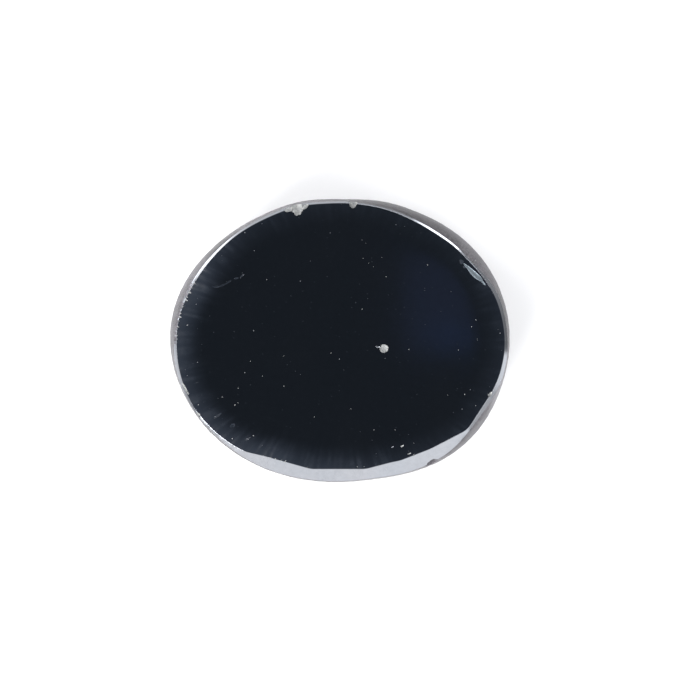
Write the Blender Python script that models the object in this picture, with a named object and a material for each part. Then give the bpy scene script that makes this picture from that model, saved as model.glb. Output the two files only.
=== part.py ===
"""A flat-topped oval hematite, cut and polished by hand, resting on its flat base.

Metres, +Z up. The origin is the middle of the base: +X runs along the stone's length,
+Y across it, and the polished face looks up. The stone is one solid. Angles are in
degrees, counter-clockwise from +X, seen from above.
"""

import math

import bmesh
import bpy
from mathutils import Matrix, Vector

MM = 0.001

# Driving sizes. The two axes are those of the plain ellipse, whose bulges bring the
# stone to 12.0 by 10.0
LENGTH_AXIS = 11.95 * MM
WIDTH_AXIS = 9.975 * MM
THICKNESS = 3.0 * MM
GIRDLE_TOP = 1.95 * MM
GIRDLE_FOOT = 1.70 * MM
LOWER_CHAMFER = 0.26 * MM
LOWER_TAPER = 0.36 * MM
LEAST_BEVEL = 0.05 * MM
BEVEL_DROP_PER_WIDTH = 0.9
WALL_ROUNDING = 0.45

# How finely the stone is divided
RING_STEPS = 240
WALL_STEPS = 3
SMOOTHING_SAMPLES = (-1.0, -0.5, 0.0, 0.5, 1.0)
WIDTH_SMOOTHING = 3.0
CORNER_ROUNDING = 1.2
SHARP_EDGE = 24.0

# The hand-ground outline swells beyond a true ellipse: middle angle, half span, swelling
OUTLINE_BULGES = (
    (42.0, 45.0, 0.0207),
    (72.6, 18.8, 0.0102),
    (106.8, 18.7, 0.0113),
    (169.8, 32.2, 0.0097),
    (236.5, 51.2, 0.0137),
    (315.6, 38.2, 0.0406),
)

# Angle and width in millimetres of the rim between the face's edge and the outline
RIM_WIDTH = (
    (0.0, 0.18), (16.0, 0.26), (24.0, 0.36), (33.0, 0.445), (48.0, 0.44), (60.0, 0.35),
    (76.0, 0.245), (88.0, 0.145), (98.0, 0.175), (124.0, 0.175), (136.0, 0.205), (148.0, 0.265),
    (156.0, 0.30), (164.0, 0.30), (172.0, 0.26), (184.0, 0.225), (191.0, 0.175), (204.0, 0.105),
    (218.0, 0.16), (229.6, 0.235), (236.0, 0.43), (241.0, 0.48), (257.0, 0.42), (281.0, 0.395),
    (292.5, 0.54), (296.5, 0.51), (310.0, 0.585), (324.0, 0.325), (341.0, 0.27), (346.0, 0.20),
    (356.0, 0.18),
)

# Angle and width in millimetres of the outer part of the rim, the steep wall
WALL_WIDTH = (
    (0.0, 0.09), (16.0, 0.14), (24.0, 0.25), (28.0, 0.34), (33.0, 0.38), (48.0, 0.365),
    (60.0, 0.295), (76.0, 0.19), (88.0, 0.08), (98.0, 0.10), (124.0, 0.09), (136.0, 0.145),
    (144.0, 0.175), (152.0, 0.20), (164.0, 0.235), (174.0, 0.20), (180.0, 0.17), (186.0, 0.145),
    (192.0, 0.10), (204.0, 0.05), (218.0, 0.075), (229.0, 0.06), (236.0, 0.04), (296.0, 0.04),
    (303.0, 0.07), (310.0, 0.10), (315.0, 0.14), (320.0, 0.19), (324.0, 0.245), (332.0, 0.255),
    (341.0, 0.14), (346.0, 0.06), (356.0, 0.06),
)

# Straight cuts of the bevel: from one angle to the next the face's edge is a chord
FLAT_CUTS = (
    (229.6, 236.0),
    (236.0, 241.0),
    (241.0, 257.0),
    (257.0, 281.0),
    (281.0, 292.5),
    (292.5, 296.5),
    (296.5, 310.0),
    (310.0, 324.0),
    (326.0, 341.0),
)

# Places broken out of the stone, in millimetres: name, middle, turn about Z,
# half sizes along, across and down
BROKEN_PLACES = (
    ("face_pit", (1.556, -0.279, 3.0), 20.0, (0.155, 0.145, 0.075)),
    ("top_edge_chip", (-1.51, 4.66, 2.98), 8.0, (0.22, 0.22, 0.16)),
    ("top_edge_chip_tail", (-1.77, 4.63, 2.99), 15.0, (0.19, 0.09, 0.08)),
    ("small_top_chip", (0.47, 4.85, 2.97), -5.0, (0.14, 0.19, 0.13)),
    ("edge_flake", (4.74, 2.34, 3.02), -43.5, (0.58, 0.11, 0.055)),
    ("outer_edge_chip", (3.29, -4.37, 2.56), 30.0, (0.23, 0.19, 0.22)),
    ("left_ledge", (-5.49, -1.66, 2.98), -59.0, (0.22, 0.05, 0.06)),
    ("left_edge_nick", (-4.99, -2.62, 2.98), -50.0, (0.10, 0.065, 0.07)),
    ("right_edge_nick", (5.30, -1.89, 2.99), 60.0, (0.09, 0.05, 0.05)),
)
CUTTER_ROUNDNESS = 3

# The polished stone: near black with a cool steel cast
STONE_COLOUR = (0.085, 0.095, 0.118, 1.0)
STONE_ROUGHNESS = 0.12
STONE_METALLIC = 0.85


def clear_scene():
    """Removes whatever the scene holds."""
    for old in list(bpy.data.objects):
        bpy.data.objects.remove(old, do_unlink=True)


def stone_material():
    """The dark, mirror-like polish of the stone."""
    material = bpy.data.materials.new("hematite")
    material.use_nodes = True
    shader = material.node_tree.nodes["Principled BSDF"]
    shader.inputs["Base Color"].default_value = STONE_COLOUR
    shader.inputs["Roughness"].default_value = STONE_ROUGHNESS
    shader.inputs["Metallic"].default_value = STONE_METALLIC
    return material


def ring_value(points, angle):
    """The value between the two listed points on either side of the angle, round the ring."""
    angle = angle % 360.0
    before, low = points[-1][0] - 360.0, points[-1][1]
    for after, high in points + ((points[0][0] + 360.0, points[0][1]),):
        if angle <= after:
            share = (angle - before) / max(after - before, 1e-9)
            return low + share * (high - low)
        before, low = after, high
    return low


def smooth_width(points, angle):
    """A listed width in metres, with its kinks smoothed over."""
    near = [ring_value(points, angle + WIDTH_SMOOTHING * s) for s in SMOOTHING_SAMPLES]
    return sum(near) / len(near) * MM


def outline_radius(angle):
    """How far the widest outline lies from the axis."""
    half_length, half_width = LENGTH_AXIS / 2, WIDTH_AXIS / 2
    turn = math.radians(angle)
    spread = math.hypot(half_width * math.cos(turn), half_length * math.sin(turn))
    swelling = 1.0
    for middle, half_span, height in OUTLINE_BULGES:
        away = (angle - middle + 180.0) % 360.0 - 180.0
        if abs(away) < half_span:
            swelling += height * 0.5 * (1.0 + math.cos(math.pi * away / half_span))
    return half_length * half_width / spread * swelling


def free_face_radius(angle):
    """The face's edge where no straight cut takes it."""
    return outline_radius(angle) - smooth_width(RIM_WIDTH, angle)


def cut_face_radius(angle):
    """The face's edge, on a chord along each straight cut."""
    angle = angle % 360.0
    for start, end in FLAT_CUTS:
        if start <= angle <= end:
            first, last = free_face_radius(start), free_face_radius(end)
            from_start, to_end = math.radians(angle - start), math.radians(end - angle)
            whole = math.radians(end - start)
            reach = first * math.sin(from_start) + last * math.sin(to_end)
            near = first * last * math.sin(whole)
            return near / reach
    return free_face_radius(angle)


def face_radius(angle):
    """The face's edge with its corners worn soft."""
    near = [cut_face_radius(angle + CORNER_ROUNDING * s) for s in SMOOTHING_SAMPLES]
    return sum(near) / len(near)


def bevel_foot_radius(angle):
    """Where the polished bevel meets the ground wall."""
    by_wall = outline_radius(angle) - smooth_width(WALL_WIDTH, angle)
    return max(by_wall, face_radius(angle) + LEAST_BEVEL)


def bevel_foot_height(angle):
    """The bevel drops in step with its width."""
    width = bevel_foot_radius(angle) - face_radius(angle)
    return THICKNESS - width * BEVEL_DROP_PER_WIDTH


def wall_point(angle, share):
    """A point on the slightly rounded wall, from the bevel's foot to the girdle's top."""
    foot, rim = bevel_foot_radius(angle), outline_radius(angle)
    high = bevel_foot_height(angle)
    turn = share * math.pi / 2
    out = (1 - WALL_ROUNDING) * share + WALL_ROUNDING * math.sin(turn)
    down = (1 - WALL_ROUNDING) * share + WALL_ROUNDING * (1 - math.cos(turn))
    return foot + (rim - foot) * out, high + (GIRDLE_TOP - high) * down


def lower_inset(angle):
    """How far the lower wall has drawn in where the chamfer starts, a little uneven."""
    turn = math.radians(angle)
    return LOWER_TAPER * (1.0 + 0.14 * math.cos(2 * turn + 0.7) + 0.08 * math.sin(3 * turn))


def stone_profile(angle):
    """Radius and height down the side of the stone, from the face's edge to the base."""
    rim = outline_radius(angle)
    inset = lower_inset(angle)
    profile = [(face_radius(angle), THICKNESS)]
    profile += [wall_point(angle, step / WALL_STEPS) for step in range(WALL_STEPS + 1)]
    profile += [
        (rim, GIRDLE_FOOT),
        (rim - 0.4 * inset, (GIRDLE_FOOT + LOWER_CHAMFER) / 2),
        (rim - inset, LOWER_CHAMFER),
        (rim - inset - LOWER_CHAMFER, 0.0),
    ]
    return profile


def outline_middle():
    """The middle of the outline's bounding box."""
    points = []
    for step in range(RING_STEPS):
        angle = step * 360.0 / RING_STEPS
        turn, radius = math.radians(angle), outline_radius(angle)
        points.append((radius * math.cos(turn), radius * math.sin(turn)))
    wide = [x for x, _ in points]
    deep = [y for _, y in points]
    return Vector(((min(wide) + max(wide)) / 2, (min(deep) + max(deep)) / 2, 0.0))


def stone_mesh(middle):
    """The closed stone before anything is broken out of it."""
    shape = bmesh.new()
    columns = []
    for step in range(RING_STEPS):
        angle = step * 360.0 / RING_STEPS
        turn = math.radians(angle)
        column = []
        for radius, height in stone_profile(angle):
            place = Vector((radius * math.cos(turn), radius * math.sin(turn), height))
            column.append(shape.verts.new(place - middle))
        columns.append(column)
    for index, column in enumerate(columns):
        following = columns[(index + 1) % RING_STEPS]
        for level in range(len(column) - 1):
            shape.faces.new(
                (column[level], column[level + 1], following[level + 1], following[level])
            )
    shape.faces.new([column[0] for column in columns])
    shape.faces.new([column[-1] for column in reversed(columns)])
    mesh = bpy.data.meshes.new("hematite")
    shape.normal_update()
    shape.to_mesh(mesh)
    shape.free()
    return mesh


def broken_place(name, middle_mm, turn_degrees, half_sizes_mm, shift):
    """A flattened ball in the form of one break, used only to cut."""
    shape = bmesh.new()
    bmesh.ops.create_icosphere(shape, subdivisions=CUTTER_ROUNDNESS, radius=1.0)
    stretch = Matrix.Diagonal(Vector(half_sizes_mm) * MM).to_4x4()
    turn = Matrix.Rotation(math.radians(turn_degrees), 4, "Z")
    place = Matrix.Translation(Vector(middle_mm) * MM - shift)
    bmesh.ops.transform(shape, matrix=place @ turn @ stretch, verts=shape.verts)
    mesh = bpy.data.meshes.new(name)
    shape.to_mesh(mesh)
    shape.free()
    cutter = bpy.data.objects.new(name, mesh)
    bpy.context.collection.objects.link(cutter)
    cutter.hide_render = True
    cutter.display_type = "WIRE"
    return cutter


def make_hematite():
    """The whole stone: body, then the pits and chips broken out of it."""
    middle = outline_middle()
    stone = bpy.data.objects.new("hematite", stone_mesh(middle))
    bpy.context.collection.objects.link(stone)
    stone.data.materials.append(stone_material())
    for name, place, turn_degrees, half_sizes in BROKEN_PLACES:
        cut = stone.modifiers.new(name, "BOOLEAN")
        cut.operation = "DIFFERENCE"
        cut.solver = "EXACT"
        cut.object = broken_place(name, place, turn_degrees, half_sizes, middle)
    stone.data.shade_smooth()
    stone.data.set_sharp_from_angle(angle=math.radians(SHARP_EDGE))
    return stone


clear_scene()
make_hematite()
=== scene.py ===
"""The looks of a flat-topped oval hematite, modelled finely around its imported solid.

Metres, +Z up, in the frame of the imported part: +X along the stone, +Y across it, the
polished face up. Angles are in degrees, counter-clockwise from +X, seen from above.
"""

import math

import bmesh
import bpy
import numpy as np
from mathutils import Matrix, Vector, noise


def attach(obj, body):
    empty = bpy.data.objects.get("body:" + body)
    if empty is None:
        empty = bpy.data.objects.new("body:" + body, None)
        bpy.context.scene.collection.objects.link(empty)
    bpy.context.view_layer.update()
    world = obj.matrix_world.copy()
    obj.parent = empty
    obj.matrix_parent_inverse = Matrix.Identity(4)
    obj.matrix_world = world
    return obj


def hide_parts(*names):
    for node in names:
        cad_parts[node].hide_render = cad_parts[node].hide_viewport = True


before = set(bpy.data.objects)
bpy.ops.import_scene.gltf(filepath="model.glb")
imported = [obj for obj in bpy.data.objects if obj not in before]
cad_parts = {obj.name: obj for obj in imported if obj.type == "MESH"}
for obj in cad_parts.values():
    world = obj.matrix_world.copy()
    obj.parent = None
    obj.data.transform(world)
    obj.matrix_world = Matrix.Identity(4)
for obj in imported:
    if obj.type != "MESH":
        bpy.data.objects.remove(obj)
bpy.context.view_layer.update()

MM = 0.001

# Driving sizes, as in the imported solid
LENGTH_AXIS = 11.95 * MM
WIDTH_AXIS = 9.975 * MM
THICKNESS = 3.0 * MM
GIRDLE_TOP = 1.95 * MM
GIRDLE_FOOT = 1.70 * MM
LOWER_CHAMFER = 0.26 * MM
LOWER_TAPER = 0.36 * MM
LEAST_BEVEL = 0.05 * MM
BEVEL_DROP_PER_WIDTH = 0.9
WALL_ROUNDING = 0.45
WIDTH_SMOOTHING = 3.0
CORNER_ROUNDING = 1.2
SMOOTHING_SAMPLES = (-1.0, -0.5, 0.0, 0.5, 1.0)

# The hand-ground outline swells beyond a true ellipse: middle angle, half span, swelling
OUTLINE_BULGES = (
    (42.0, 45.0, 0.0207),
    (72.6, 18.8, 0.0102),
    (106.8, 18.7, 0.0113),
    (169.8, 32.2, 0.0097),
    (236.5, 51.2, 0.0137),
    (315.6, 38.2, 0.0406),
)

# Angle and width in millimetres of the rim between the face's edge and the outline
RIM_WIDTH = (
    (0.0, 0.18), (16.0, 0.26), (24.0, 0.36), (33.0, 0.44), (40.0, 0.425), (48.0, 0.43), (60.0, 0.335),
    (76.0, 0.23), (88.0, 0.145), (98.0, 0.175), (124.0, 0.175), (136.0, 0.205), (148.0, 0.275),
    (156.0, 0.31), (164.0, 0.305), (172.0, 0.26), (184.0, 0.225), (191.0, 0.175), (204.0, 0.105),
    (218.0, 0.16), (229.6, 0.235), (236.0, 0.43), (241.0, 0.48), (257.0, 0.42), (281.0, 0.395),
    (292.5, 0.54), (296.5, 0.51), (310.0, 0.585), (324.0, 0.325), (341.0, 0.27), (346.0, 0.20),
    (356.0, 0.18),
)

# Angle and width in millimetres of the outer part of the rim, the steep wall
WALL_WIDTH = (
    (0.0, 0.09), (16.0, 0.14), (24.0, 0.25), (28.0, 0.34), (33.0, 0.38), (48.0, 0.355),
    (60.0, 0.275), (76.0, 0.18), (88.0, 0.08), (98.0, 0.10), (124.0, 0.09), (136.0, 0.145),
    (144.0, 0.18), (152.0, 0.205), (164.0, 0.235), (174.0, 0.21), (180.0, 0.16), (185.0, 0.10),
    (190.0, 0.07), (196.0, 0.05), (204.0, 0.05), (218.0, 0.075), (229.0, 0.06), (236.0, 0.04),
    (296.0, 0.04), (303.0, 0.07), (310.0, 0.10), (315.0, 0.14), (320.0, 0.19), (324.0, 0.245),
    (332.0, 0.255), (341.0, 0.14), (346.0, 0.06), (356.0, 0.06),
)

# Straight cuts of the bevel: from one angle to the next the face's edge is a chord
FLAT_CUTS = (
    (229.6, 236.0),
    (236.0, 241.0),
    (241.0, 257.0),
    (257.0, 281.0),
    (281.0, 292.5),
    (292.5, 296.5),
    (296.5, 310.0),
    (310.0, 324.0),
    (326.0, 341.0),
)

# How finely the shown stone is divided
RING_STEPS = 960
BEVEL_STEPS = 4
WALL_STEPS = 10
LOWER_STEPS = 7
FACE_INSETS = (3.4, 2.4, 1.7, 1.2, 0.9, 0.72, 0.56, 0.43, 0.32, 0.23, 0.16, 0.10, 0.05, 0.015)

# How wide the worn softness of an edge is, how far the bevel bulges as a share of its width,
# and from what angle on an edge is a crease
EDGE_SOFTNESS = 0.003 * MM
BEVEL_CROWN = 0.006
SHARP_EDGE = 30.0

# The polish rolls the face off towards its edge: how wide, how deep, and where it is strongest
ROLL_OFF_WIDTH = 0.9 * MM
ROLL_OFF_DEPTH = 0.012 * MM
ROLL_OFF_STRENGTH = (
    (0.0, 0.4), (20.0, 0.4), (45.0, 0.25), (80.0, 0.25), (100.0, 0.35), (130.0, 0.4), (148.0, 0.8),
    (160.0, 1.5), (170.0, 1.3), (185.0, 1.0), (200.0, 0.9), (225.0, 1.1), (240.0, 1.2),
    (250.0, 0.9), (270.0, 0.8), (290.0, 0.5), (310.0, 0.35), (340.0, 0.35),
)

# The polish near the edge is scuffed: how far in, how deep a scuff is at its full dullness,
# how dull the edge is beside a scuff, and how closely its radial strokes follow each other and
# how strongly they show
SCUFFED_WIDTH = 1.3 * MM
SCUFF_DEPTH = 0.006 * MM
EDGE_DULLNESS = 0.4
STROKES_PER_DEGREE = 0.7
STROKE_CONTRAST = 2.2

# Painted light and shade on the ground wall round the stone: a factor on its colour, lower where it
# stands for shade and higher where it stands for light that falls on the wall or that the wall
# mirrors.
# It evens out below the upper wall
WALL_PAINTED_LIGHT = (
    (0.0, 1.0), (10.0, 0.75), (18.0, 1.0), (32.0, 1.0), (42.0, 0.76), (50.0, 0.63), (62.0, 0.55),
    (72.0, 0.57), (82.0, 0.75), (90.0, 1.05), (100.0, 1.2), (122.0, 1.25), (131.0, 1.15),
    (136.0, 0.8), (140.0, 0.57), (145.0, 0.7), (150.0, 1.15), (160.0, 1.45), (168.0, 1.15),
    (182.0, 1.15), (190.0, 1.3), (201.0, 1.4), (206.0, 0.9), (214.0, 0.8), (222.0, 1.0),
    (300.0, 1.0), (334.0, 1.0), (341.0, 1.7), (352.0, 1.5), (357.0, 1.0),
)
PAINTED_LIGHT_FULL_ABOVE = 2.5 * MM
PAINTED_LIGHT_NONE_BELOW = 2.0 * MM
GREATEST_PAINTED_LIGHT = 2.0
LEAST_GROUND_MARK = 0.01

# The ground wall is a little lumpy: height of the lumps and their spacing
LUMP_HEIGHT = 0.010 * MM
LUMP_SPACING = 0.22 * MM

# What a break leaves behind, as the slot of its faces until they are marked
GRAINY, GLASSY, GROUND, SCUFFED = 1, 2, 3, 4

# Breaks in the stone, in millimetres: what they leave, middle, turn about Z in degrees, half
# sizes along, across and down, how far the ends bend across, and how much the far end narrows
BREAKS = (
    # The round pit in the face, and its tail
    (GRAINY, (1.556, -0.279, 3.00), 20.0, (0.155, 0.145, 0.075), 0.0, 0.0),
    (SCUFFED, (1.34, -0.225, 3.003), -14.0, (0.09, 0.025, 0.010), 0.0, 0.0),
    # The larger chip in the upper edge
    (GRAINY, (-1.51, 4.655, 2.98), 8.0, (0.21, 0.245, 0.16), 0.0, 0.0),
    (GRAINY, (-1.77, 4.63, 2.99), 15.0, (0.19, 0.09, 0.08), 0.0, 0.0),
    (GRAINY, (-1.26, 4.71, 2.98), 33.0, (0.17, 0.08, 0.08), 0.0, 0.0),
    # The smaller chip beside it
    (GRAINY, (0.47, 4.85, 2.97), -5.0, (0.14, 0.19, 0.13), 0.0, 0.0),
    # The long flake off the face, inside the upper right edge: its blade, tip and dull start
    (GLASSY, (4.72, 2.36, 3.018), -43.5, (0.50, 0.105, 0.036), 0.04, -0.35),
    (GLASSY, (5.05, 2.04, 3.006), -49.0, (0.15, 0.035, 0.018), 0.0, 0.3),
    (GLASSY, (4.45, 2.63, 3.008), -45.0, (0.16, 0.045, 0.018), 0.0, -0.4),
    (SCUFFED, (4.29, 2.78, 3.020), -45.0, (0.15, 0.13, 0.026), 0.0, 0.0),
    (SCUFFED, (4.38, 2.60, 3.020), -55.0, (0.13, 0.10, 0.024), 0.0, 0.0),
    # The bite out of the bevel's foot, lower right
    (GROUND, (3.29, -4.37, 2.56), 30.0, (0.23, 0.19, 0.22), 0.0, 0.0),
    (GROUND, (3.08, -4.47, 2.52), 25.0, (0.16, 0.09, 0.14), 0.0, 0.0),
    # The ledge, the nick and the chip along the lower left edge
    (GRAINY, (-5.475, -1.66, 2.985), -59.0, (0.215, 0.045, 0.05), 0.0, 0.0),
    (GRAINY, (-5.36, -1.85, 2.99), -59.0, (0.06, 0.03, 0.03), 0.0, 0.0),
    (GRAINY, (-4.99, -2.62, 2.98), -50.0, (0.10, 0.065, 0.07), 0.0, 0.0),
    # The nicks along the lower right edge
    (GRAINY, (5.30, -1.89, 2.99), 60.0, (0.09, 0.05, 0.05), 0.0, 0.0),
    (GRAINY, (5.24, -1.93, 3.00), 115.0, (0.06, 0.02, 0.02), 0.0, 0.0),
    (GRAINY, (2.44, -3.985, 2.99), 20.0, (0.07, 0.03, 0.03), 0.0, 0.0),
    (SCUFFED, (1.857, -3.75, 3.00), 35.0, (0.05, 0.022, 0.012), 0.0, 0.0),
    (GRAINY, (2.196, -3.717, 3.00), 30.0, (0.06, 0.030, 0.018), 0.0, 0.0),
    # Bright bruises on the wall and the edge, upper right
    (GRAINY, (4.22, 3.20, 2.99), -40.0, (0.035, 0.03, 0.03), 0.0, 0.0),
    (GRAINY, (4.68, 2.757, 2.92), -45.0, (0.06, 0.045, 0.06), 0.0, 0.0),
    (GRAINY, (4.79, 2.84, 2.80), -45.0, (0.045, 0.04, 0.07), 0.0, 0.0),
    # Shallow scuffs inside the left and the lower left edge
    (SCUFFED, (-5.06, 1.94, 3.008), 50.0, (0.11, 0.045, 0.018), 0.0, 0.0),
    (SCUFFED, (-4.832, -2.185, 3.020), 29.0, (0.32, 0.06, 0.024), 0.0, 0.0),
    (SCUFFED, (-4.974, -2.273, 3.005), 29.0, (0.05, 0.035, 0.012), 0.0, 0.0),
    (SCUFFED, (-4.30, -2.645, 3.020), 35.0, (0.27, 0.075, 0.026), 0.0, 0.0),
    (SCUFFED, (-4.385, -2.70, 3.005), 20.0, (0.075, 0.04, 0.014), 0.0, 0.0),
    (SCUFFED, (-3.795, -2.997, 3.020), 30.0, (0.22, 0.15, 0.024), 0.0, 0.0),
    (SCUFFED, (-3.255, -3.474, 3.010), 34.0, (0.15, 0.040, 0.018), 0.0, 0.0),
)

# Fine scratches across the face, in millimetres: half width, depth, points in turn
SCRATCHES = (
    (0.011, 0.0045, ((-5.362, -1.797), (-5.25, -1.63), (-5.150, -1.514), (-4.974, -1.461))),
    (0.016, 0.0012, ((-4.98, 1.96), (-4.72, 1.97))),
    (0.034, 0.0022, ((-4.70, 1.99), (-4.58, 1.95), (-4.44, 1.885), (-4.25, 1.905))),
    (0.026, 0.0012, ((-4.24, 1.91), (-4.03, 1.995), (-3.84, 2.12))),
    (0.030, 0.0018, ((-3.72, 2.18), (-3.58, 2.21))),
    (0.026, 0.0020, ((-3.51, 2.22), (-3.39, 2.34))),
)

# Pin pricks in the face, in millimetres: place and radius
PRICKS = (
    (-2.573, 2.146, 0.018), (1.627, 2.252, 0.017), (3.085, 2.669, 0.020), (0.780, 1.105, 0.020),
    (-1.973, -0.537, 0.017), (-1.973, -1.603, 0.022), (-3.579, -1.670, 0.022), (-3.703, -2.273, 0.025),
    (-3.050, -3.350, 0.029), (0.374, -2.407, 0.015), (-0.904, -2.690, 0.015), (1.197, -3.149, 0.015),
    (1.945, -3.149, 0.015), (4.398, -1.896, 0.022), (4.787, -2.291, 0.018), (3.798, -1.920, 0.017),
    (4.169, -0.332, 0.018), (4.638, 0.487, 0.017), (4.787, 0.727, 0.018), (4.840, 0.056, 0.015),
    (2.422, -0.307, 0.017), (-0.314, -0.438, 0.015), (-2.732, -1.250, 0.017), (-3.156, -0.720, 0.013),
    (-4.141, -1.991, 0.022), (-4.988, -2.256, 0.020), (2.609, -3.615, 0.017), (-3.791, -3.456, 0.022),
    (-5.380, 0.544, 0.029), (0.604, -4.444, 0.015), (0.851, -4.444, 0.015), (-3.590, -2.190, 0.015),
    (0.812, 2.900, 0.012), (1.017, 2.729, 0.014), (1.180, 2.600, 0.012), (0.911, 3.440, 0.012),
    (0.790, 3.540, 0.012), (1.476, 2.930, 0.012),
)

# Nicks across the face's edge: angle in degrees, and half length in millimetres. All lean a
# little the same way
EDGE_NICKS = (
    (157.4, 0.03), (158.7, 0.06), (160.6, 0.04), (162.3, 0.09), (164.2, 0.05), (165.3, 0.10),
    (167.9, 0.04), (170.4, 0.05), (171.6, 0.08), (173.2, 0.04), (175.2, 0.07), (178.3, 0.04),
    (239.2, 0.04), (241.1, 0.05), (243.6, 0.04), (245.4, 0.06), (255.2, 0.03), (287.0, 0.03),
    (302.6, 0.05), (339.9, 0.05),
)
EDGE_NICK_NARROWNESS = 0.3
EDGE_NICK_DEPTH = 0.022
EDGE_NICK_LEAN = 14.0

# Where the bevel's polish is worn through in streaks, from one angle to the next, how closely
# they follow each other, and below what noise the polish is gone
WORN_BEVEL = (159.0, 181.0)
STREAKS_PER_DEGREE = 1.7
WORN_BELOW = 0.12

# How finely a large break is divided, and how ragged each kind is
BREAK_FINENESS = 4
RAGGEDNESS = {GRAINY: 0.16, GLASSY: 0.03, GROUND: 0.14, SCUFFED: 0.10}


def rad(degrees):
    return np.radians(degrees)


def at_angles(points, angles):
    """A listed value at each angle, read straight between the listed ones."""
    listed, values = zip(*points)
    return np.interp(angles, listed, values, period=360.0)


def smooth_widths(points, angles):
    """A listed width in metres at each angle, with its kinks smoothed over."""
    near = [at_angles(points, angles + WIDTH_SMOOTHING * s) for s in SMOOTHING_SAMPLES]
    return sum(near) / len(near) * MM


def outline_radii(angles):
    """How far the widest outline lies from the axis."""
    half_length, half_width = LENGTH_AXIS / 2, WIDTH_AXIS / 2
    spread = np.hypot(half_width * np.cos(rad(angles)), half_length * np.sin(rad(angles)))
    swelling = np.ones_like(spread)
    for middle, half_span, height in OUTLINE_BULGES:
        away = (angles - middle + 180.0) % 360.0 - 180.0
        bulge = height * 0.5 * (1.0 + np.cos(np.pi * away / half_span))
        swelling += np.where(np.abs(away) < half_span, bulge, 0.0)
    return half_length * half_width / spread * swelling


def free_face_radii(angles):
    """The face's edge where no straight cut takes it."""
    return outline_radii(angles) - smooth_widths(RIM_WIDTH, angles)


def cut_face_radii(angles):
    """The face's edge, on a chord along each straight cut."""
    angles = angles % 360.0
    radii = free_face_radii(angles)
    for start, end in FLAT_CUTS:
        first, last = free_face_radii(np.array([start, end]))
        reach = first * np.sin(rad(angles - start)) + last * np.sin(rad(end - angles))
        within = (angles >= start) & (angles <= end)
        near = first * last * math.sin(math.radians(end - start))
        radii = np.where(within, near / np.where(within, reach, 1.0), radii)
    return radii


def face_radii(angles):
    """The face's edge with its corners worn soft."""
    near = [cut_face_radii(angles + CORNER_ROUNDING * s) for s in SMOOTHING_SAMPLES]
    return sum(near) / len(near)


def bevel_foot_radii(angles):
    """Where the polished bevel meets the ground wall."""
    by_wall = outline_radii(angles) - smooth_widths(WALL_WIDTH, angles)
    return np.maximum(by_wall, face_radii(angles) + LEAST_BEVEL)


def bevel_foot_heights(angles):
    """The bevel drops in step with its width."""
    widths = bevel_foot_radii(angles) - face_radii(angles)
    return THICKNESS - widths * BEVEL_DROP_PER_WIDTH


def lower_insets(angles):
    """How far the lower wall has drawn in where the chamfer starts, a little uneven."""
    turns = rad(angles)
    return LOWER_TAPER * (1.0 + 0.14 * np.cos(2 * turns + 0.7) + 0.08 * np.sin(3 * turns))


def face_levels(angles):
    """Rings of the polished face, from its flat middle out to its rolled edge."""
    edge = face_radii(angles)
    levels = []
    for inset in FACE_INSETS + (EDGE_SOFTNESS / MM,):
        rolled = max(1.0 - inset * MM / ROLL_OFF_WIDTH, 0.0) ** 2
        levels.append((edge - inset * MM, THICKNESS - edge_drops(angles) * rolled))
    return levels


def edge_drops(angles):
    """How far the face's edge lies below its middle."""
    return ROLL_OFF_DEPTH * at_angles(ROLL_OFF_STRENGTH, angles)


def bevel_levels(angles):
    """Rings of the polished bevel, softened where it meets the face and the wall."""
    edge, foot = face_radii(angles), bevel_foot_radii(angles)
    width, top = foot - edge, THICKNESS - edge_drops(angles)
    drop = top - bevel_foot_heights(angles)
    soft = EDGE_SOFTNESS / width
    shares = [soft, 2 * soft]
    for step in range(1, BEVEL_STEPS):
        shares.append(2 * soft + (1 - 4 * soft) * step / BEVEL_STEPS)
    shares += [1 - 2 * soft, 1 - soft]
    levels = []
    for share in shares:
        crown = width * BEVEL_CROWN * 4 * share * (1 - share)
        levels.append((edge + width * share + crown, top - drop * share + crown))
    return levels


def wall_levels(angles):
    """Rings of the ground wall, from the bevel's foot to the girdle's foot."""
    foot, rim = bevel_foot_radii(angles), outline_radii(angles)
    high = bevel_foot_heights(angles)
    levels = []
    for step in range(1, WALL_STEPS + 1):
        share = (step / WALL_STEPS) ** 1.3
        turn = share * math.pi / 2
        out = (1 - WALL_ROUNDING) * share + WALL_ROUNDING * math.sin(turn)
        down = (1 - WALL_ROUNDING) * share + WALL_ROUNDING * (1 - math.cos(turn))
        levels.append((foot + (rim - foot) * out, high + (GIRDLE_TOP - high) * down))
    middle = (GIRDLE_TOP + GIRDLE_FOOT) / 2
    levels.append((rim, np.full_like(rim, middle)))
    levels.append((rim, np.full_like(rim, GIRDLE_FOOT)))
    return levels


def lower_levels(angles):
    """Rings of the lower wall, the chamfer and the base's edge."""
    rim, inset = outline_radii(angles), lower_insets(angles)
    levels = []
    for step in range(1, LOWER_STEPS + 1):
        share = step / LOWER_STEPS
        height = GIRDLE_FOOT + (LOWER_CHAMFER - GIRDLE_FOOT) * share
        drawn_in = inset * (0.8 * share + 0.2 * (2 * share - 1) * max(2 * share - 1, 0))
        levels.append((rim - drawn_in, np.full_like(rim, height)))
    for share in (0.1, 0.5, 0.95, 1.0):
        inner = rim - inset - LOWER_CHAMFER * share
        levels.append((inner, np.full_like(rim, LOWER_CHAMFER * (1 - share))))
    inner = rim - inset - LOWER_CHAMFER * 1.3
    levels.append((inner, np.zeros_like(rim)))
    return levels


def outline_middle():
    """The middle of the outline's bounding box."""
    angles = np.arange(RING_STEPS) * 360.0 / RING_STEPS
    radii = outline_radii(angles)
    wide, deep = radii * np.cos(rad(angles)), radii * np.sin(rad(angles))
    return Vector(((wide.min() + wide.max()) / 2, (deep.min() + deep.max()) / 2, 0.0))


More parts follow.
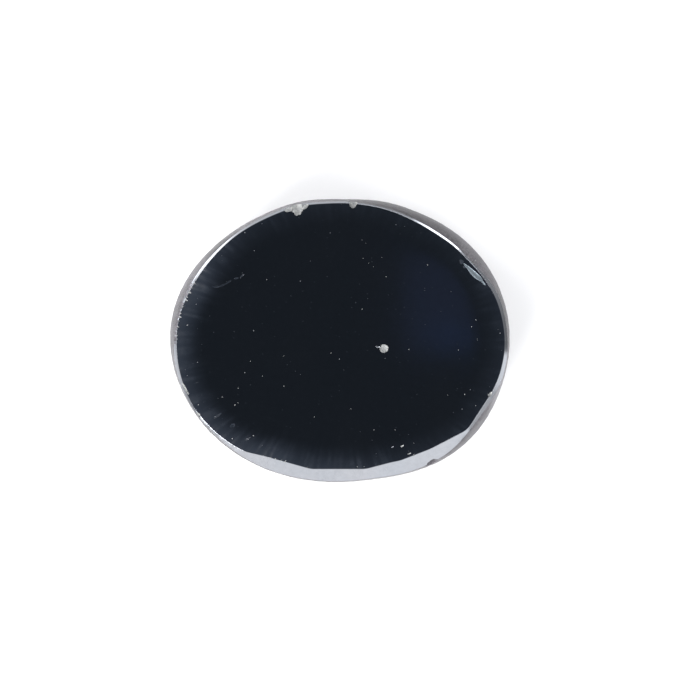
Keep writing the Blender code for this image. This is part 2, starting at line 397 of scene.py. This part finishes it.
def body_mesh(middle, materials):
    """The closed stone in fine rings, before anything is broken out of it."""
    angles = np.arange(RING_STEPS) * 360.0 / RING_STEPS
    levels = face_levels(angles) + bevel_levels(angles)
    polished = len(levels)
    levels += wall_levels(angles) + lower_levels(angles)
    points = []
    for index, (radii, heights) in enumerate(levels):
        wide = radii * np.cos(rad(angles)) - middle.x
        deep = radii * np.sin(rad(angles)) - middle.y
        for x, y, z in zip(wide, deep, heights):
            place = Vector((x, y, z))
            if index >= polished:
                place -= lump(place)
            points.append(place)
    faces = []
    for level in range(len(levels) - 1):
        for step in range(RING_STEPS):
            here, there = level * RING_STEPS + step, level * RING_STEPS + (step + 1) % RING_STEPS
            faces.append((here, here + RING_STEPS, there + RING_STEPS, there))
    faces.append(tuple(range(RING_STEPS)))
    last = (len(levels) - 1) * RING_STEPS
    faces.append(tuple(range(last + RING_STEPS - 1, last - 1, -1)))
    mesh = bpy.data.meshes.new("hematite_stone")
    mesh.from_pydata(points, [], faces)
    for material in materials:
        mesh.materials.append(material)
    mesh.validate()
    return mesh


def lump(place):
    """How far the grinding took the wall in at this place, never outwards."""
    if place.z < 0.02 * MM:
        return Vector((0.0, 0.0, 0.0))
    out = Vector((place.x, place.y, 0.0)).normalized()
    height = noise.fractal(place / LUMP_SPACING, 0.9, 2.1, 4)
    return out * LUMP_HEIGHT * min(max(0.5 + height, 0.0), 1.0)


def all_breaks(middle):
    """Every break, scratch, prick and nick, in the form that BREAKS has."""
    breaks = list(BREAKS)
    for half_width, depth, points in SCRATCHES:
        for (x, y), (next_x, next_y) in zip(points, points[1:]):
            place = ((x + next_x) / 2, (y + next_y) / 2, 3.0)
            turn = math.degrees(math.atan2(next_y - y, next_x - x))
            half_length = math.hypot(next_x - x, next_y - y) * 0.56
            breaks.append((SCUFFED, place, turn, (half_length, half_width, depth), 0.0, 0.0))
    for x, y, radius in PRICKS:
        breaks.append((GRAINY, (x, y, 3.0), 0.0, (radius, radius * 0.8, radius * 0.7), 0.0, 0.0))
    for angle, half_length in EDGE_NICKS:
        radius = float(face_radii(np.array([angle]))[0]) / MM
        x = radius * math.cos(math.radians(angle)) - middle.x / MM
        y = radius * math.sin(math.radians(angle)) - middle.y / MM
        half_sizes = (half_length, half_length * EDGE_NICK_NARROWNESS, EDGE_NICK_DEPTH)
        breaks.append((GRAINY, (x, y, 2.99), angle - EDGE_NICK_LEAN, half_sizes, 0.0, 0.0))
    return breaks


def break_mesh(middle, materials):
    """All the breaks as one mesh of ragged flattened balls, used only to cut."""
    shape = bmesh.new()
    for index, (kind, place, turn, half_sizes, bend, narrowing) in enumerate(all_breaks(middle)):
        coarseness = int(max(half_sizes) < 0.10) + int(max(half_sizes) < 0.035)
        ball = bmesh.ops.create_icosphere(shape, subdivisions=BREAK_FINENESS - coarseness, radius=1.0)
        grain = 0.22 * min(half_sizes[:2]) ** 0.5
        for vert in ball["verts"]:
            local = Vector(a * b for a, b in zip(vert.co, half_sizes))
            ragged = noise.fractal(local / grain + Vector((index * 7.3, 0, 0)), 0.8, 2.0, 5)
            shaped = vert.co * (1.0 + RAGGEDNESS[kind] * ragged)
            shaped.x = vert.co.x * (1.0 + RAGGEDNESS[kind] * ragged * half_sizes[1] / half_sizes[0])
            local = Vector(a * b for a, b in zip(shaped, half_sizes))
            local.y = local.y * (1.0 - narrowing * shaped.x) + bend * shaped.x**2
            vert.co = local
        for face in {face for vert in ball["verts"] for face in vert.link_faces}:
            face.material_index = kind
        turned = Matrix.Rotation(math.radians(turn), 4, "Z")
        moved = Matrix.Translation(Vector(place) * MM)
        size = Matrix.Scale(MM, 4)
        bmesh.ops.transform(shape, matrix=moved @ turned @ size, verts=ball["verts"])
    mesh = bpy.data.meshes.new("breaks")
    shape.to_mesh(mesh)
    shape.free()
    for material in materials:
        mesh.materials.append(material)
    return mesh


def cut_stone(body, breaks):
    """The body with every break cut out of it, its faces still in the break's own slots."""
    stone = bpy.data.objects.new("hematite_stone", body)
    cutter = bpy.data.objects.new("breaks", breaks)
    for made in (stone, cutter):
        bpy.context.collection.objects.link(made)
    cut = stone.modifiers.new("breaks", "BOOLEAN")
    cut.operation = "DIFFERENCE"
    cut.solver = "EXACT"
    cut.use_self = True
    cut.object = cutter
    graph = bpy.context.evaluated_depsgraph_get()
    whole = bpy.data.meshes.new_from_object(stone.evaluated_get(graph))
    stone.modifiers.clear()
    stone.data = whole
    bpy.data.objects.remove(cutter, do_unlink=True)
    return stone


def sharpen_edges(stone):
    """Shades the stone smooth, with a crease along its edges and round every break."""
    mesh = stone.data
    mesh.shade_smooth()
    mesh.set_sharp_from_angle(angle=math.radians(SHARP_EDGE))
    slots, totals = np.empty((2, len(mesh.polygons)), np.int32)
    mesh.polygons.foreach_get("material_index", slots)
    mesh.polygons.foreach_get("loop_total", totals)
    edges = np.empty(len(mesh.loops), np.int32)
    mesh.loops.foreach_get("edge_index", edges)
    broken_sides = np.bincount(edges, np.repeat(slots != 0, totals), len(mesh.edges))
    sharp = np.empty(len(mesh.edges), bool)
    mesh.edges.foreach_get("use_edge_sharp", sharp)
    mesh.edges.foreach_set("use_edge_sharp", sharp | (broken_sides == 1))


def mark_surfaces(stone, middle):
    """Writes what each face is, for the material, the painted light and shade of the ground wall, and
    how scuffed the polish is there.
    """
    mesh = stone.data
    count = len(mesh.polygons)
    centres = np.empty(count * 3)
    slots, totals = np.empty((2, count), np.int32)
    mesh.polygons.foreach_get("center", centres)
    mesh.polygons.foreach_get("material_index", slots)
    mesh.polygons.foreach_get("loop_total", totals)
    centres = centres.reshape(-1, 3) + np.array(middle)
    angles = np.degrees(np.arctan2(centres[:, 1], centres[:, 0])) % 360.0
    walls = (slots == 0) & (centres[:, 2] < bevel_foot_heights(angles) - 0.004 * MM)
    beyond_face = np.hypot(centres[:, 0], centres[:, 1]) > face_radii(angles) + EDGE_SOFTNESS
    in_worn = (angles > WORN_BEVEL[0]) & (angles < WORN_BEVEL[1])
    streak_places = [Vector((angle * STREAKS_PER_DEGREE, 0.3, 0.7)) for angle in angles]
    streaks = np.array([noise.noise(place) for place in streak_places])
    worn = (slots == 0) & beyond_face & in_worn & (streaks < WORN_BELOW)
    ground = walls | worn | (slots == GROUND)
    # Painted light and shade: the ground wall's colour factor by angle round the stone, evened out
    # below the upper wall
    evened = np.clip((PAINTED_LIGHT_FULL_ABOVE - centres[:, 2]) / (PAINTED_LIGHT_FULL_ABOVE - PAINTED_LIGHT_NONE_BELOW), 0.0, 1.0)
    wall_painted_light = at_angles(WALL_PAINTED_LIGHT, angles)
    wall_painted_light = wall_painted_light + (1.0 - wall_painted_light) * evened
    ground_and_painted_light = ground * wall_painted_light / GREATEST_PAINTED_LIGHT
    kinds = np.stack([slots == GRAINY, ground_and_painted_light, slots == GLASSY, np.ones(count)], axis=1)
    surface = mesh.color_attributes.new("surface", "FLOAT_COLOR", "CORNER")
    per_corner = np.repeat(kinds.astype(np.float32), totals, axis=0)
    surface.data.foreach_set("color", per_corner.ravel())
    places = np.empty(len(mesh.vertices) * 3)
    mesh.vertices.foreach_get("co", places)
    places = places.reshape(-1, 3) + np.array(middle)
    corners = np.empty(len(mesh.loops), np.int32)
    mesh.loops.foreach_get("vertex_index", corners)
    radii = np.hypot(places[:, 0], places[:, 1])
    angles = np.degrees(np.arctan2(places[:, 1], places[:, 0])) % 360.0
    strength = at_angles(ROLL_OFF_STRENGTH, angles)
    near_edge = np.clip(1.0 - (face_radii(angles) - radii) / SCUFFED_WIDTH, 0.0, 1.0) ** 2 * strength
    depths = THICKNESS - edge_drops(angles) * near_edge - places[:, 2]
    in_scuff = np.repeat(slots == SCUFFED, totals) * np.clip(depths / SCUFF_DEPTH, 0.0, 1.0)[corners]
    turns = angles * STROKES_PER_DEGREE
    strokes = np.array([noise.noise(Vector((a, r, 2.5))) for a, r in zip(turns, radii / MM)])
    dull_edge = near_edge * EDGE_DULLNESS * np.clip(1.0 + STROKE_CONTRAST * strokes, 0.0, 2.0)
    scuffed = mesh.attributes.new("scuffed", "FLOAT", "CORNER")
    scuffed.data.foreach_set("value", np.maximum(dull_edge[corners], in_scuff).astype(np.float32))
    mesh.polygons.foreach_set("material_index", np.zeros(count, np.int32))
    for index in range(len(mesh.materials) - 1, 0, -1):
        mesh.materials.pop(index=index)


def node(tree, kind, inputs=(), **settings):
    """Adds a node. Inputs are values or the sockets that feed them."""
    made = tree.nodes.new("ShaderNode" + kind)
    for name, value in settings.items():
        setattr(made, name, value)
    for key, value in dict(inputs).items():
        if isinstance(value, bpy.types.NodeSocket):
            tree.links.new(value, made.inputs[key])
        else:
            made.inputs[key].default_value = value
    return made


def mix(tree, factor, first, second):
    """A number or a colour between two others."""
    is_colour = isinstance(first, tuple) or getattr(first, "type", "") in ("RGBA", "VECTOR")
    if is_colour:
        return node(tree, "Mix", {0: factor, 6: first, 7: second}, data_type="RGBA").outputs[2]
    return node(tree, "Mix", {0: factor, 2: first, 3: second}, data_type="FLOAT").outputs[0]


def math_node(tree, operation, first, second=0.0):
    return node(tree, "Math", {0: first, 1: second}, operation=operation).outputs[0]


def between(tree, value, low, high, to_low=0.0, to_high=1.0):
    """Stretches a value's range to another, and holds it at the ends."""
    inputs = {"Value": value, "From Min": low, "From Max": high, "To Min": to_low, "To Max": to_high}
    return node(tree, "MapRange", inputs).outputs[0]


def grain(tree, place, per_mm, detail=3.0, roughness=0.55):
    """Noise with so many lumps to the millimetre."""
    inputs = {"Vector": place, "Scale": per_mm, "Detail": detail, "Roughness": roughness}
    return node(tree, "TexNoise", inputs).outputs["Fac"]


def dots(tree, place, per_mm, radius):
    """Round dots, one to a cell and not in every cell: 1 in a dot, 0 outside."""
    cells = node(tree, "TexVoronoi", {"Vector": place, "Scale": per_mm}, voronoi_dimensions="3D")
    inside = between(tree, cells.outputs["Distance"], radius * per_mm, radius * per_mm * 0.4)
    lot = node(tree, "SeparateColor", {"Color": cells.outputs["Color"]}).outputs[0]
    return math_node(tree, "MULTIPLY", inside, between(tree, lot, 0.55, 0.9))


def stone_material():
    """Polished, ground and broken hematite in one, told apart by the surface marks, with painted light
    and shade in the ground wall's colour.
    """
    material = bpy.data.materials.new("hematite")
    material.use_nodes = True
    tree = material.node_tree
    shader = tree.nodes["Principled BSDF"]
    shader.inputs["Metallic"].default_value = 1.0
    coordinates = node(tree, "TexCoord").outputs["Object"]
    place = node(tree, "VectorMath", {0: coordinates, "Scale": 1000.0}, operation="SCALE").outputs[0]
    mark = node(tree, "Attribute", attribute_name="surface").outputs["Color"]
    marks = node(tree, "SeparateColor", {"Color": mark}).outputs
    broken, glassy = marks[0], marks[2]
    ground = math_node(tree, "GREATER_THAN", marks[1], LEAST_GROUND_MARK)
    # Painted light and shade of the ground wall, carried in the second surface mark
    painted_light = math_node(tree, "MULTIPLY", marks[1], GREATEST_PAINTED_LIGHT)
    scuffed = node(tree, "Attribute", attribute_name="scuffed").outputs["Fac"]

    clouds = between(tree, grain(tree, place, 0.5), 0.35, 0.65)
    polish = mix(tree, clouds, (0.244, 0.257, 0.282, 1), (0.258, 0.266, 0.288, 1))
    mottle = between(tree, grain(tree, place, 5.0, 3.0, 0.6), 0.3, 0.7, 0.955, 1.03)
    polish = node(tree, "VectorMath", {0: polish, "Scale": mottle}, operation="SCALE").outputs[0]
    drawn = node(tree, "VectorMath", {0: place, 1: (1.0, 1.0, 0.35)}, operation="MULTIPLY").outputs[0]
    fine = between(tree, grain(tree, drawn, 12.0, 4.0, 0.75), 0.36, 0.64)
    patchy = between(tree, grain(tree, drawn, 3.0, 3.0, 0.6), 0.3, 0.7, 0.82, 1.16)
    grinding = mix(tree, fine, (0.050, 0.048, 0.056, 1), (0.142, 0.135, 0.146, 1))
    # The grinding's colour is scaled by its random patches and by the painted light and shade
    patchy_painted_light = math_node(tree, "MULTIPLY", painted_light, patchy)
    grinding = node(tree, "VectorMath", {0: grinding, "Scale": patchy_painted_light}, operation="SCALE").outputs[0]
    crumbs = between(tree, grain(tree, place, 14.0, 4.0, 0.7), 0.3, 0.7)
    fracture = mix(tree, crumbs, (0.24, 0.25, 0.26, 1), (0.44, 0.44, 0.43, 1))
    colour = mix(tree, ground, polish, grinding)
    colour = mix(tree, glassy, colour, (0.175, 0.205, 0.23, 1))
    colour = mix(tree, broken, colour, fracture)

    pin_dots = dots(tree, place, 3.0, 0.022)
    faint_dots = math_node(tree, "MULTIPLY", dots(tree, place, 7.0, 0.016), 0.45)
    pricked = math_node(tree, "MAXIMUM", pin_dots, faint_dots)
    colour = mix(tree, math_node(tree, "MULTIPLY", pricked, 0.6), colour, (0.42, 0.42, 0.42, 1))
    tree.links.new(colour, shader.inputs["Base Color"])

    smudge = between(tree, grain(tree, place, 1.7, 5.0, 0.65), 0.35, 0.7)
    worn = math_node(tree, "MULTIPLY", scuffed, between(tree, smudge, 0.0, 1.0, 0.35, 1.0))
    rough = between(tree, worn, 0.0, 1.0, 0.03, 0.36)
    rough = math_node(tree, "ADD", rough, math_node(tree, "MULTIPLY", smudge, 0.008))
    rough = mix(tree, pricked, rough, 0.6)
    rough = mix(tree, ground, rough, between(tree, fine, 0.0, 1.0, 0.34, 0.48))
    rough = mix(tree, glassy, rough, 0.45)
    rough = mix(tree, broken, rough, 0.62)
    tree.links.new(rough, shader.inputs["Roughness"])

    sandy = math_node(tree, "ADD", ground, broken)
    height = math_node(tree, "MULTIPLY", grain(tree, drawn, 22.0, 4.0, 0.65), sandy)
    bump = node(tree, "Bump", {"Height": height, "Distance": 0.012 * MM, "Strength": 1.0})
    waves = node(tree, "Bump", {"Height": grain(tree, place, 2.2, 2.0), "Distance": 0.00006 * MM})
    tree.links.new(waves.outputs[0], bump.inputs["Normal"])
    tree.links.new(bump.outputs[0], shader.inputs["Normal"])
    return material


def make_stone():
    """The whole stone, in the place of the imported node."""
    middle = outline_middle()
    surface = stone_material()
    kinds = ("grainy", "glassy", "ground", "scuffed")
    slots = [surface] + [bpy.data.materials.new(name) for name in kinds]
    stone = cut_stone(body_mesh(middle, slots), break_mesh(middle, slots))
    sharpen_edges(stone)
    mark_surfaces(stone, middle)
    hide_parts("hematite")
    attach(stone, "root")
    return stone


# The camera looks straight down, as far off as a long macro lens would be
SENSOR = 36.0
CAMERA_HEIGHT = 0.5
FRAME_PIXELS = 675
STONE_PIXELS = 339.8
STONE_MIDDLE_PIXEL = (339.9, 340.6)


def make_camera():
    """A camera straight above, with the stone where the photograph has it."""
    metres_per_pixel = 12.0 * MM / STONE_PIXELS
    right = STONE_MIDDLE_PIXEL[0] - FRAME_PIXELS / 2
    down = STONE_MIDDLE_PIXEL[1] - FRAME_PIXELS / 2
    data = bpy.data.cameras.new("camera")
    data.sensor_width = SENSOR
    data.lens = SENSOR * CAMERA_HEIGHT / (FRAME_PIXELS * metres_per_pixel)
    data.clip_start = 0.01
    data.clip_end = 10.0
    camera = bpy.data.objects.new("camera", data)
    girdle = (GIRDLE_TOP + GIRDLE_FOOT) / 2
    camera.location = (-right * metres_per_pixel, down * metres_per_pixel, girdle + CAMERA_HEIGHT)
    bpy.context.collection.objects.link(camera)
    bpy.context.scene.camera = camera


def make_floor():
    """A wide plain white floor."""
    bpy.ops.mesh.primitive_plane_add(size=3.0, location=(0, 0, 0))
    floor = bpy.context.active_object
    floor.name = "floor"
    material = bpy.data.materials.new("floor")
    material.use_nodes = True
    shader = material.node_tree.nodes["Principled BSDF"]
    shader.inputs["Base Color"].default_value = (0.86, 0.86, 0.865, 1.0)
    shader.inputs["Roughness"].default_value = 0.9
    floor.data.materials.append(material)


# The studio's brightness, by angle from straight up, and near the horizon by angle around
SKY_UNIT = 8.0
SKY = (
    (0.0, (0.034, 0.042, 0.053)),
    (0.9, (0.034, 0.042, 0.053)),
    (2.0, (0.065, 0.080, 0.105)),
    (4.0, (0.150, 0.180, 0.230)),
    (7.0, (0.200, 0.230, 0.280)),
    (14.0, (0.230, 0.245, 0.270)),
    (45.0, (0.320, 0.330, 0.350)),
    (68.0, (0.850, 0.860, 0.880)),
    (80.0, (1.4, 1.4, 1.4)),
)
HORIZON_FROM, HORIZON_TO = 70.0, 80.0
HORIZON = (
    (0.0, 0.45), (12.0, 0.5), (28.0, 0.7), (45.0, 0.65), (48.0, 8.0), (59.0, 8.0), (63.0, 1.1),
    (76.0, 0.85), (90.0, 1.6), (120.0, 1.7), (126.0, 2.4), (130.0, 4.0), (134.0, 8.0), (147.0, 8.0),
    (152.0, 5.0), (170.0, 5.0), (176.0, 2.2), (195.0, 2.4), (206.0, 1.0), (219.0, 0.9), (226.0, 2.2),
    (309.0, 2.35), (316.0, 1.6), (321.0, 1.3), (331.0, 1.3), (337.0, 2.1), (343.0, 2.4), (352.0, 2.4),
    (355.0, 0.45),
)


def ramp(tree, position, stops, span):
    """A colour ramp through stops, each given in degrees or the like, out of the span."""
    made = node(tree, "ValToRGB", {"Fac": position})
    elements = made.color_ramp.elements
    while len(elements) > 1:
        elements.remove(elements[-1])
    for index, (at, colour) in enumerate(stops):
        stop = elements[0] if index == 0 else elements.new(at / span)
        stop.position = at / span
        colour = colour if isinstance(colour, tuple) else (colour,) * 3
        stop.color = tuple(part / SKY_UNIT for part in colour) + (1.0,)
    return made.outputs["Color"]


def make_world():
    """A soft studio: a dark gap overhead, where the camera is, and bright towards the horizon."""
    world = bpy.data.worlds.new("studio")
    world.use_nodes = True
    tree = world.node_tree
    direction = node(tree, "TexCoord").outputs["Generated"]
    axes = node(tree, "SeparateXYZ", {0: direction}).outputs
    tilt = math_node(tree, "DIVIDE", math_node(tree, "ARCCOSINE", axes[2]), math.pi)
    turn = math_node(tree, "DIVIDE", math_node(tree, "ARCTAN2", axes[1], axes[0]), 2 * math.pi)
    turn = math_node(tree, "FRACT", turn)
    sky = ramp(tree, tilt, SKY, 180.0)
    horizon = ramp(tree, turn, HORIZON + ((360.0, HORIZON[0][1]),), 360.0)
    low = between(tree, tilt, HORIZON_FROM / 180.0, HORIZON_TO / 180.0)
    background = tree.nodes["Background"]
    tree.links.new(mix(tree, low, sky, horizon), background.inputs["Color"])
    background.inputs["Strength"].default_value = SKY_UNIT
    bpy.context.scene.world = world


def make_panel(name, azimuth, elevation, distance, size, radiance, colour=(1.0, 1.0, 1.0)):
    """A soft rectangular light that looks at the stone."""
    data = bpy.data.lights.new(name, "AREA")
    data.shape = "RECTANGLE"
    data.size, data.size_y = size
    data.color = colour
    data.energy = radiance * math.pi * size[0] * size[1]
    light = bpy.data.objects.new(name, data)
    turn, rise = math.radians(azimuth), math.radians(elevation)
    away = Vector((math.cos(turn) * math.cos(rise), math.sin(turn) * math.cos(rise), math.sin(rise)))
    light.location = away * distance
    light.rotation_mode = "QUATERNION"
    light.rotation_quaternion = away.to_track_quat("Z", "Y")
    bpy.context.collection.objects.link(light)
    return light


# Small blue cards level with the camera, which the face mirrors: middle, size, radiance, colour
CARDS = (
    ("wide_card", (0.0071, 0.0026, CAMERA_HEIGHT), (0.0050, 0.0070), 0.049, (0.30, 0.41, 1.0)),
    ("low_card", (0.0080, 0.0001, CAMERA_HEIGHT - MM), (0.0034, 0.0022), 0.032, (0.0, 0.28, 1.0)),
)


def make_lights():
    """A key light from the front left, softer ones around, and the small cards overhead."""
    make_panel("key", 232.0, 34.0, 0.8, (0.4, 0.4), 15.0)
    make_panel("fill_right", 320.0, 42.0, 0.8, (0.5, 0.4), 5.0)
    make_panel("fill_left", 160.0, 42.0, 0.8, (0.5, 0.4), 5.0)
    make_panel("fill_back", 60.0, 45.0, 0.8, (0.5, 0.4), 5.0)
    for name, middle, size, radiance, colour in CARDS:
        card = make_panel(name, 0.0, 90.0, 1.0, size, radiance, colour)
        card.location = middle
        card.rotation_quaternion = (1, 0, 0, 0)


make_camera()
make_stone()
make_floor()
make_world()
make_lights()
bpy.context.scene.view_settings.view_transform = "Standard"
